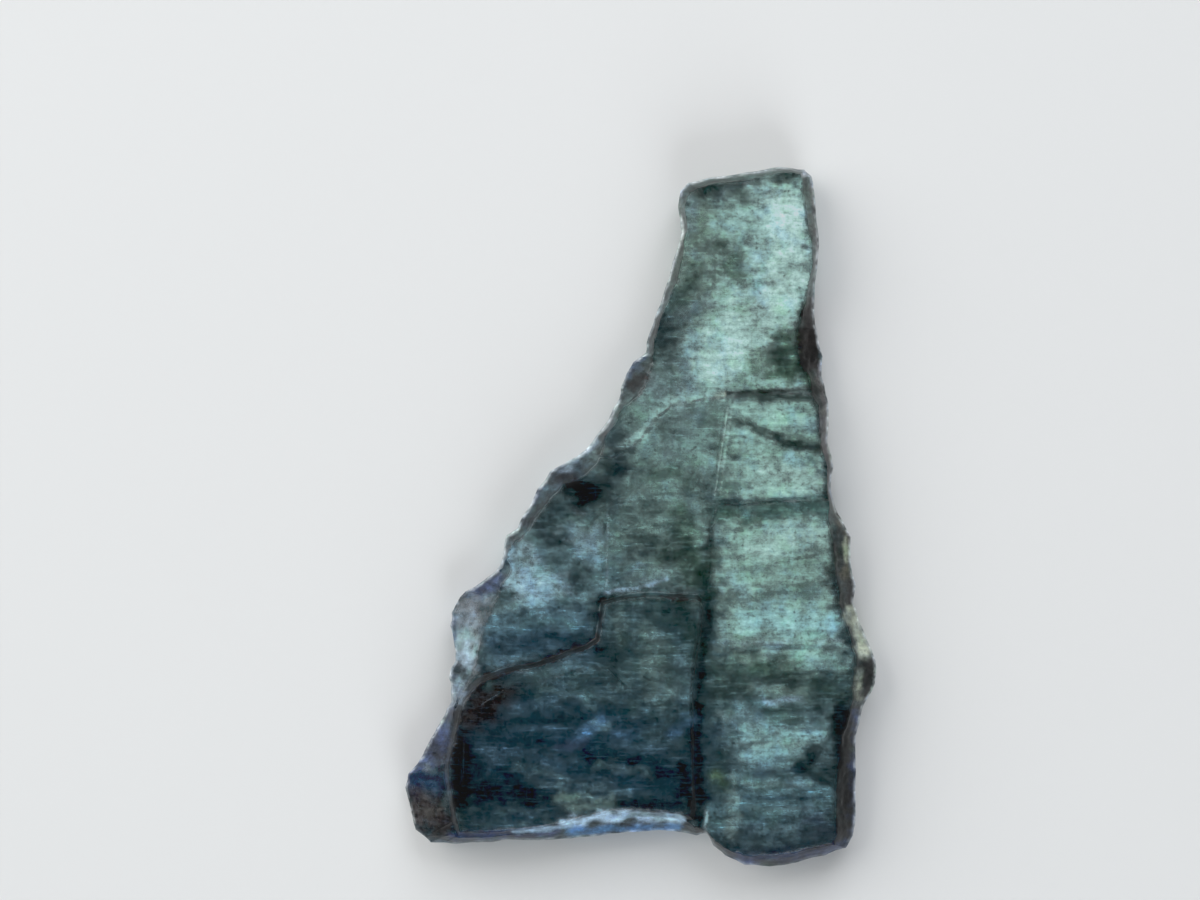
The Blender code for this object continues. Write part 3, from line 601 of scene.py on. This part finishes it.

# The same for the edges, laid over the side faces' own tint; among them are painted highlights on the foot's
# bevel, the left facets and the right edge
edgeZones = [
    ((20.8, 51.6), (31.0, 53.0), 0.60, 0.4, "edgeTeal", 0.9),    # crown's top bevel
    ((18.4, 40.6), (20.6, 50.4), 0.60, 0.4, "edgeTeal", 0.9),
    ((4.0, 2.6), (11.6, 3.0), 0.40, 0.3, "edgeBlue", 0.92),      # foot; its bright bevel is a painted highlight of light from below
    ((12.2, 3.6), (16.4, 4.1), 0.30, 0.4, "bevelHighlight", 0.95),
    ((16.4, 4.1), (20.8, 3.8), 0.28, 0.4, "bevelHighlight", 0.95),
    ((8.4, 2.9), (13.0, 3.3), 0.16, 0.15, "skyPale", 0.7),
    ((12.6, 2.9), (20.8, 3.1), 0.28, 0.3, "streakBlue", 0.8),
    ((33.2, 12.0), (33.5, 2.4), 0.9, 0.5, "edgeBlack", 0.95),
    ((34.3, 11.5), (34.3, 2.6), 0.45, 0.3, "edgeNight", 0.7),
    ((24.4, 0.8), (33.6, 1.4), 0.60, 0.4, "edgeNight", 0.8),
    ((31.0, 42.4), (30.7, 38.2), 0.85, 0.5, "edgeBrown", 0.97),  # dark wedge on the right
    ((4.8, 19.2), (4.7, 16.0), 0.95, 0.5, "edgeHighlight", 0.92),     # facets of the left edge; the pale one is a painted reflection of light from the left
    ((3.8, 18.8), (3.9, 16.4), 0.25, 0.2, "edgeViolet", 0.6),
    ((5.0, 21.0), (6.8, 21.8), 0.8, 0.6, "edgeViolet", 0.9),
    ((4.4, 20.0), (6.2, 20.4), 0.3, 0.3, "edgeMist", 0.5),
    ((4.1, 14.2), (4.3, 12.6), 0.5, 0.35, "edgeMist", 0.85),
    ((3.9, 15.4), (4.4, 15.0), 0.35, 0.3, "edgeBlack", 0.8),
    ((3.6, 12.2), (2.6, 10.4), 0.4, 0.3, "edgeViolet", 0.8),
    ((1.4, 8.6), (2.6, 9.6), 1.1, 0.6, "edgeViolet", 0.92),
    ((0.8, 6.8), (2.4, 6.6), 0.9, 0.6, "edgeNight", 0.92),
    ((2.7, 9.0), (2.9, 5.0), 0.25, 0.25, "edgeBlack", 0.6),
    ((1.0, 4.6), (2.8, 3.8), 1.3, 0.7, "umber", 0.85),
    ((4.6, 12.4), (6.4, 14.6), 0.30, 0.5, "edgeBlack", 0.65),    # the arch and the block's left wall
    ((6.4, 14.6), (11.4, 16.1), 0.26, 0.5, "edgeBlack", 0.5),
    ((11.4, 16.1), (14.8, 17.4), 0.26, 0.5, "edgeBlack", 0.45),
    ((14.8, 17.4), (14.9, 20.4), 0.26, 0.5, "edgeBlack", 0.45),
    ((4.2, 12.2), (3.9, 5.0), 0.30, 0.3, "edgeBlack", 0.8),
    ((12.2, 30.5), (14.4, 32.1), 0.45, 0.3, "edgeMist", 0.85),
    ((9.2, 27.2), (10.2, 28.8), 0.3, 0.25, "edgeViolet", 0.6),
    ((16.6, 37.0), (18.0, 38.8), 0.5, 0.35, "edgeNight", 0.7),
    ((17.3, 36.5), (17.8, 36.9), 0.45, 0.3, "edgeBlack", 0.85),
    # thin bright line on the crown's left edge: a painted highlight
    ((18.7, 42.0), (20.6, 47.8), 0.16, 0.15, "edgeHighlight", 0.75),
    ((20.0, 45.2), (20.4, 46.6), 0.22, 0.2, "edgeNight", 0.85),
    ((15.4, 34.0), (16.4, 35.8), 0.20, 0.2, "edgeMist", 0.6),
    ((31.1, 51.4), (31.5, 44.4), 0.28, 0.25, "warmGrey", 0.6),   # right edge; its cream streaks are painted highlights
    ((31.7, 37.8), (31.9, 31.6), 0.36, 0.25, "warmGrey", 0.6),
    ((32.3, 35.4), (32.3, 31.0), 0.16, 0.15, "edgeCreamHighlight", 0.7),
    ((32.4, 29.8), (33.2, 26.2), 0.40, 0.3, "edgeOchre", 0.8),
    ((33.8, 25.4), (33.4, 22.4), 0.40, 0.3, "edgeOchre", 0.8),
    ((33.4, 25.0), (33.4, 23.2), 0.16, 0.15, "edgeCreamHighlight", 0.7),
    ((33.9, 21.8), (33.7, 20.0), 0.40, 0.3, "edgeBrown", 0.8),
    ((33.9, 19.4), (34.9, 16.4), 0.50, 0.3, "edgeCreamHighlight", 0.9),
    ((35.2, 15.6), (35.0, 13.4), 0.55, 0.35, "edgeBlack", 0.85),
    ((34.4, 14.8), (34.3, 13.0), 0.25, 0.25, "edgeCreamHighlight", 0.5),
]

# Under the edge zones: the side faces' own tint, from the left edge to the right one; the step walls inside
# the outline get painted shade
sideTints = {"left": "#1e2830", "right": "#1c1916", "under": "#56747a", "walls": "#131c1e"}
sideZones = {        # where each of them starts and how fast it comes in
    "slope": (-0.965, 0.05), "height": (1.3, 0.8), "across": (0.3, 0.4), "inside": (3.8, 0.4), "share": 0.8,
    "under": (-0.2, 0.2), "underShare": 0.5,
}

# The outline itself, painted edge light: a thin pale line on the rim is a painted highlight, a thin dark one
# along the front face's edges is painted shade
paintedEdgeLight = {
    # the rim's pale line: a painted highlight of light on the rim edge
    "rimTint": "#dbe1e4", "rimWidth": 0.32, "rimStrength": 0.85,
    "rimFoot": 5.0, "footShare": 0.25,                          # below this height it fades to that share
    # the dark line along the front face's edges: painted shade at the steps
    "frontTint": "#161b1d", "frontWidth": 0.16, "frontStrength": 0.35,
    "evenShare": 0.68, "raggedShare": 0.8, "leastShare": 0.1,   # how broken both lines are
    "upward": (0.05, 0.25),                                     # only faces that look up have them
}

painting = {
    "seed": 11,                                  # of the wander, which is the same in every run because of it
    "warpFar": 0.45, "warpFarScale": 0.35,       # mm of slow wander of a zone's edge, and its waves to a mm
    "warpNear": 0.35, "warpNearScale": 1.3,
    "fullWander": 0.45,          # half width from which a zone wanders fully; thin ones stay straight
    "ragged": 0.5, "raggedShare": 0.6,           # how torn a zone's edge is, and how much of its softness
    "raggedScales": (0.9, 1.8, 0.5), "raggedOctaves": 4,
}


def softMask(gap, radius, soft):
    level = np.clip((radius + soft - gap) / (2 * soft), 0, 1)
    return (level * level * (3 - 2 * level))[:, None]


def stepped(values, start, width):
    return np.clip((values - start) / width, 0, 1)[:, None]


def blend(color, tint, share):
    return color * (1 - share) + np.array(linear(tint)) * share


def readValues(mesh, name):
    values = np.empty(len(mesh.vertices))
    mesh.attributes[name].data.foreach_get("value", values)
    return values


def laid(color, place, wander, ragged, begin, end, radius, soft, tint, strength):
    where = place + wander * min(1, radius / painting["fullWander"])
    begin = np.array(begin)
    run = np.array(end) - begin
    share = np.clip(((where - begin) @ run) / max(run @ run, 1e-9), 0, 1)
    away = np.linalg.norm(where - begin - share[:, None] * run, axis=1)
    mask = softMask(away - ragged * soft * painting["raggedShare"], radius, soft) * strength
    return blend(color, tints[tint], mask)


def readUpward(mesh):
    normals = np.empty(len(mesh.vertices) * 3)
    mesh.vertices.foreach_get("normal", normals)
    return normals.reshape(-1, 3)[:, 2]


def overSides(color, upward, height, across, rimGap):
    # Side faces take their own tint: by left and right above the rim, an even one below it; step walls inside
    # get painted shade
    sloped = stepped(-upward, *sideZones["slope"])
    above = stepped(height, *sideZones["height"])
    sideTint = np.array(linear(sideTints["left"]))
    sideTint = blend(sideTint, sideTints["right"], stepped(across, *sideZones["across"]))
    # step walls away from the rim are painted dark: painted shade
    sideTint = blend(sideTint, sideTints["walls"], stepped(rimGap, *sideZones["inside"]))
    share = sloped * above * sideZones["share"]
    color = color * (1 - share) + sideTint * share
    under = stepped(-upward, *sideZones["under"]) * (1 - above) * sideZones["underShare"]
    return blend(color, sideTints["under"], under)


def paintBody(mesh):
    low = cadBox[0]
    count = len(mesh.vertices)
    spots = np.empty(count * 3)
    mesh.vertices.foreach_get("co", spots)
    spots = spots.reshape(-1, 3) / mm
    noise.seed_set(painting["seed"])
    far = np.array([noise.noise_vector(Vector(p) * painting["warpFarScale"])[:2] for p in spots])
    near = np.array([noise.noise_vector(Vector(p) * painting["warpNearScale"])[:2] for p in spots])
    place = spots[:, :2] - np.array(low[:2]) / mm
    wander = painting["warpFar"] * far + painting["warpNear"] * near
    scales = Vector(painting["raggedScales"])
    ragged = np.array([noise.turbulence(Vector(p) * scales, painting["raggedOctaves"], False) for p in spots])
    ragged = (ragged - ragged.mean()) / ragged.std() * painting["ragged"]
    color = np.tile(linear(tints["slateTeal"]), (count, 1))
    for row in zones:
        color = laid(color, place, wander, ragged, *row)
    upward = readUpward(mesh)
    color = overSides(color, upward, spots[:, 2], place[:, 0] / place[:, 0].max(), readValues(mesh, "rimGap"))
    for row in edgeZones:
        color = laid(color, place, painting["warpNear"] * near, ragged, *row)
    # Painted edge light: a pale highlight line on the rim and a line of shade along the front face's edges
    uneven = paintedEdgeLight["evenShare"] + ragged * paintedEdgeLight["raggedShare"]
    uneven = np.clip(uneven, paintedEdgeLight["leastShare"], 1)[:, None] * stepped(upward, *paintedEdgeLight["upward"])
    foot = np.clip(place[:, 1] / paintedEdgeLight["rimFoot"], paintedEdgeLight["footShare"], 1)[:, None]
    for kind, share in (("front", uneven), ("rim", uneven * foot)):
        half = paintedEdgeLight[kind + "Width"] / 2
        mask = softMask(readValues(mesh, kind + "Gap"), half, half) * paintedEdgeLight[kind + "Strength"]
        color = blend(color, paintedEdgeLight[kind + "Tint"], mask * share)
    level = mesh.attributes.new("levelShare", "FLOAT", "POINT")      # 1 on a level face, 0 on an upright one
    level.data.foreach_set("value", np.abs(upward))
    layer = mesh.color_attributes.new("bodyColor", "FLOAT_COLOR", "POINT")
    layer.data.foreach_set("color", np.column_stack([color, np.ones(count)]).ravel())


# Patterns of the body. Each has its waves to a millimetre along x, y and z, detail, roughness, turn in
# degrees and distortion; then the two levels of the noise that count, and what they become.
patterns = {
    "clouds": (((0.42, 0.55, 0.5), 7.0, 0.70), (0.30, 0.70, 0.36, 1.52)),  # about 2 mm wide
    "feathers": (((1.6, 2.2, 1.5), 5.0, 0.72, 20.0, 0.2), (0.30, 0.70, 0.55, 1.42)),  # tufts under 1 mm
    "bands": (((0.16, 1.7, 0.5), 5.0, 0.66, -4.0), (0.30, 0.70, 0.72, 1.30)),  # near-level growth bands
    "fibres": (((2.6, 0.30, 0.5), 4.0, 0.65, 3.0), (0.30, 0.70, 0.87, 1.13)),  # upright, of the cleavage
    "specks": (((2.8, 3.0, 3.0), 2.0, 0.5), (0.27, 0.42, 0.60, 1.0)),  # dark ones, 0.3 mm
    "mossy": (((0.5, 0.6, 0.5), 5.0, 0.65, 40.0), (0.50, 0.68, 0.0, 0.9)),  # greener patches
    "steely": (((0.6, 0.5, 0.5), 5.0, 0.65, 75.0), (0.50, 0.68, 0.0, 0.9)),  # bluer patches
    "level": (((0.55, 5.0, 1.0), 5.0, 0.7, -6.0), (0.55, 0.70, 0.0, 1.0)),  # pale strokes along the bands
    "upright": (((5.0, 0.7, 1.0), 5.0, 0.7, 5.0), (0.57, 0.72, 0.0, 0.4)),  # and along the fibres
}

# Rows of four are two levels of a measure and what it becomes there
look = {
    "contrast": (0.03, 0.25, 1.6, 0.84),        # by body light: the patterns are stronger in dark parts
    "strokeGain": (0.03, 0.30, 1.3, 0.16),      # and so are the strokes
    "broad": (0.85, 0.97, 0.0, 1.0),            # by how level the face is: strokes are on broad faces only
    "sloped": (0.80, 0.95, 1.0, 0.0),           # by the same: side faces
    "mossy": (0.84, 0.98, 0.82, 1.0),           # tints of the greener and the bluer patches, and of strokes
    "steely": (0.84, 0.92, 1.12, 1.0),
    "strokes": (0.008, 0.034, 0.066, 1.0),
    "saturation": 0.98,
    "milky": (0.05, 0.42, 0.0, 1.0),            # by how light the tone is
    "glare": (0.014, 0.014, 0.014, 1.0),        # what the surface mirrors; the tone inside goes without it
    "filterGamma": 0.5,                         # light passes twice, in and out
    "scatterGain": 1.25,
    "through": (0.0, 1.0, 0.90, 0.42),          # transmission, from clear parts to milky ones
    "throughSides": (0.0, 1.0, 1.0, 0.18),      # and at most this much on side faces
    "roughness": (0.80, 0.95, 0.34, 0.22),      # from the broken sides to the pearly front
    "fine": ((0.7, 6.0, 6.0), 3.0, 0.6, -4.0),  # growth lines 0.2 mm apart, drawn coarser than the real ones
    "fineBump": 0.3, "fineDepth": 0.00004,
    "ior": 1.6, "specular": 0.3,
    "absorbed": (0.30, 0.66, 0.74, 1.0), "density": 45.0,
}


# Materials

def vivianite():
    # Vivianite, grown: glassy to pearly on the cleavage face, hackly on the broken sides. Light goes in
    # and comes back out through a blue to green body, which is why its thick parts look almost black.
    material = bpy.data.materials.new("vivianite")
    material.use_nodes = True
    tree = material.node_tree
    tree.nodes.clear()
    place = addNode(tree, "ShaderNodeTexCoord", out="Object")

    def grain(scale, detail, roughness, turn=0.0, distortion=0.0):
        turned = (0, 0, math.radians(turn))
        mapped = addNode(tree, "ShaderNodeMapping", {
            "Vector": place, "Rotation": turned, "Scale": [waves / mm for waves in scale]})
        return addNode(tree, "ShaderNodeTexNoise", {
            "Vector": mapped, "Scale": 1.0, "Detail": detail, "Roughness": roughness,
            "Distortion": distortion})

    def pattern(name):
        waves, ends = patterns[name]
        return addNode(tree, "ShaderNodeMapRange", (grain(*waves), *ends))

    painted = {"attribute_type": "GEOMETRY"}
    body = addNode(tree, "ShaderNodeAttribute", out="Color", attribute_name="bodyColor", **painted)
    facing = addNode(tree, "ShaderNodeAttribute", out="Fac", attribute_name="levelShare", **painted)
    bodyLight = addNode(tree, "ShaderNodeRGBToBW", (body,))
    clouds = pattern("clouds")
    shade = clouds
    for name in ("feathers", "bands", "fibres", "specks"):
        shade = addNode(tree, "ShaderNodeMath", (shade, pattern(name)), operation="MULTIPLY")
    contrast = addNode(tree, "ShaderNodeMapRange", (bodyLight, *look["contrast"]))
    shade = addNode(tree, "ShaderNodeMath", (shade, contrast), operation="POWER")
    tone = addNode(tree, "ShaderNodeVectorMath", {0: body, 3: shade}, operation="SCALE")
    mix = {"data_type": "RGBA", "out": 2}
    for name in ("mossy", "steely"):
        tone = addNode(tree, "ShaderNodeMix", {0: pattern(name), 6: tone, 7: look[name]},
                       blend_type="MULTIPLY", **mix)

    strokes = addNode(tree, "ShaderNodeMath", (pattern("level"), pattern("upright")), operation="MAXIMUM")
    broad = addNode(tree, "ShaderNodeMapRange", (facing, *look["broad"]))
    gain = addNode(tree, "ShaderNodeMapRange", (bodyLight, *look["strokeGain"]))
    gain = addNode(tree, "ShaderNodeMath", (gain, broad), operation="MULTIPLY")
    brighter = addNode(tree, "ShaderNodeMath", (strokes, gain, 1.0), operation="MULTIPLY_ADD")
    tone = addNode(tree, "ShaderNodeVectorMath", {0: tone, 3: brighter}, operation="SCALE")
    added = addNode(tree, "ShaderNodeMath", (strokes, clouds), operation="MULTIPLY")
    added = addNode(tree, "ShaderNodeMath", (added, gain), operation="MULTIPLY")
    tone = addNode(tree, "ShaderNodeMix", {0: added, 6: tone, 7: look["strokes"]}, blend_type="ADD", **mix)
    tone = addNode(tree, "ShaderNodeHueSaturation", {"Color": tone, "Saturation": look["saturation"]})

    # Pale parts are milky and scatter light near the surface; dark parts are clear and filter it
    light = addNode(tree, "ShaderNodeRGBToBW", (tone,))
    pale = addNode(tree, "ShaderNodeMapRange", (light, *look["milky"]))
    sloped = addNode(tree, "ShaderNodeMapRange", (facing, *look["sloped"]))
    milky = addNode(tree, "ShaderNodeMath", (pale, sloped), operation="MAXIMUM")
    filtered = addNode(tree, "ShaderNodeMix", {0: 1.0, 6: tone, 7: look["glare"]},
                       blend_type="SUBTRACT", clamp_result=True, **mix)
    filtered = addNode(tree, "ShaderNodeGamma", (filtered, look["filterGamma"]))
    scattered = addNode(tree, "ShaderNodeVectorMath", {0: tone, 3: look["scatterGain"]}, operation="SCALE")
    base = addNode(tree, "ShaderNodeMix", {0: milky, 6: filtered, 7: scattered}, clamp_result=True, **mix)
    through = addNode(tree, "ShaderNodeMapRange", (milky, *look["through"]))
    atSides = addNode(tree, "ShaderNodeMapRange", (sloped, *look["throughSides"]))
    through = addNode(tree, "ShaderNodeMath", (through, atSides), operation="MINIMUM")
    roughness = addNode(tree, "ShaderNodeMapRange", (facing, *look["roughness"]))
    bump = addNode(tree, "ShaderNodeBump", {
        "Height": grain(*look["fine"]), "Strength": look["fineBump"], "Distance": look["fineDepth"]})

    shader = addNode(tree, "ShaderNodeBsdfPrincipled", {
        "Base Color": base, "Transmission Weight": through, "Roughness": roughness, "Normal": bump,
        "IOR": look["ior"], "Metallic": 0.0, "Specular IOR Level": look["specular"]})
    inside = addNode(tree, "ShaderNodeVolumeAbsorption", {
        "Color": look["absorbed"], "Density": look["density"]})
    addNode(tree, "ShaderNodeOutputMaterial", {"Surface": shader, "Volume": inside})
    return material


def paperFloor():
    # Matt cartridge paper: no gloss, an even pale grey
    material = bpy.data.materials.new("paperFloor")
    material.use_nodes = True
    shader = material.node_tree.nodes["Principled BSDF"]
    shader.inputs["Base Color"].default_value = (*linear("#dcdcda"), 1.0)
    shader.inputs["Roughness"].default_value = 0.9
    return material


# The crystal

def crystalPiece():
    material = vivianite()
    mesh = evenMesh(cadNode)
    obj = bpy.data.objects.new("crystal", mesh)
    bpy.context.scene.collection.objects.link(obj)
    withRelief(obj, material)
    paintBody(obj.data)
    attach(obj, "root")
    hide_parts(cadNode)
    print("crystal:", len(obj.data.polygons), "triangles")


crystalPiece()


# Stage, camera and light; lengths in metres
studio = {
    "floorSide": 1.6,
    "pixel": 0.075 * mm,                # real size of one pixel of the 1200 by 900 frame
    "frameMiddle": (600.0, 450.0),
    "crystalMiddle": (641.0, 517.0),    # where the middle of the crystal's box falls in that frame
    "lens": 120.0,
    "sensor": 36.0,
    "frameWidth": 1200,
    "worldHeights": (0.2, 0.9),         # between these heights, of 1 overhead, the surroundings
    "worldLights": (0.32, 0.10),        # go from the first brightness to the second
    "worldColor": (0.95, 0.98, 1.0, 1.0),
}

# Round soft lamps: name, place, width, watts, colour, and whether the crystal mirrors them
lamps = [
    ("keyLeft", (-0.50, 0.24, 0.30), 0.80, 3.4, "#ffffff", False),
    ("glintLeft", (-0.46, 0.30, 0.30), 0.50, 0.8, "#ffffff", True),
    ("topFar", (0.10, 0.50, 0.36), 0.60, 2.8, "#f4f8ff", False),
    ("lowFill", (0.16, -0.50, 0.26), 0.40, 2.1, "#f4f9ff", False),
]


def floor():
    mesh = bpy.data.meshes.new("floor")
    half = studio["floorSide"] / 2
    corners = [(-half, -half, 0), (half, -half, 0), (half, half, 0), (-half, half, 0)]
    mesh.from_pydata(corners, [], [(0, 1, 2, 3)])
    obj = bpy.data.objects.new("floor", mesh)
    mesh.materials.append(paperFloor())
    bpy.context.scene.collection.objects.link(obj)


def camera():
    data = bpy.data.cameras.new("camera")
    data.lens = studio["lens"]
    data.sensor_width = studio["sensor"]
    data.clip_start = 0.01
    obj = bpy.data.objects.new("camera", data)
    bpy.context.scene.collection.objects.link(obj)
    aimX = (studio["frameMiddle"][0] - studio["crystalMiddle"][0]) * studio["pixel"]
    aimY = (studio["crystalMiddle"][1] - studio["frameMiddle"][1]) * studio["pixel"]
    height = studio["frameWidth"] * studio["pixel"] * studio["lens"] / studio["sensor"]
    obj.location = (aimX, aimY, height + cadBox[1][2])
    bpy.context.scene.camera = obj


def softbox(name, spot, size, power, hexColor, mirrored):
    data = bpy.data.lights.new(name, "AREA")
    data.shape = "DISK"
    data.size = size
    data.energy = power
    data.color = linear(hexColor)
    obj = bpy.data.objects.new(name, data)
    obj.location = spot
    obj.rotation_euler = (-Vector(spot)).to_track_quat("-Z", "Y").to_euler()
    obj.visible_glossy = mirrored        # a lamp with a polariser lights the piece without a glare on it
    bpy.context.scene.collection.objects.link(obj)


def surroundings():
    world = bpy.data.worlds.new("surroundings")
    bpy.context.scene.world = world
    world.use_nodes = True
    tree = world.node_tree
    tree.nodes.clear()
    around = addNode(tree, "ShaderNodeTexCoord", out="Generated")
    height = addNode(tree, "ShaderNodeSeparateXYZ", (around,), out=2)
    bright = addNode(tree, "ShaderNodeMapRange", (height, *studio["worldHeights"], *studio["worldLights"]))
    back = addNode(tree, "ShaderNodeBackground", {"Strength": bright, "Color": studio["worldColor"]})
    addNode(tree, "ShaderNodeOutputWorld", {"Surface": back})


floor()
camera()
for lamp in lamps:
    softbox(*lamp)
surroundings()
bpy.context.scene.view_settings.view_transform = "Standard"
print("stage, camera and light are set")
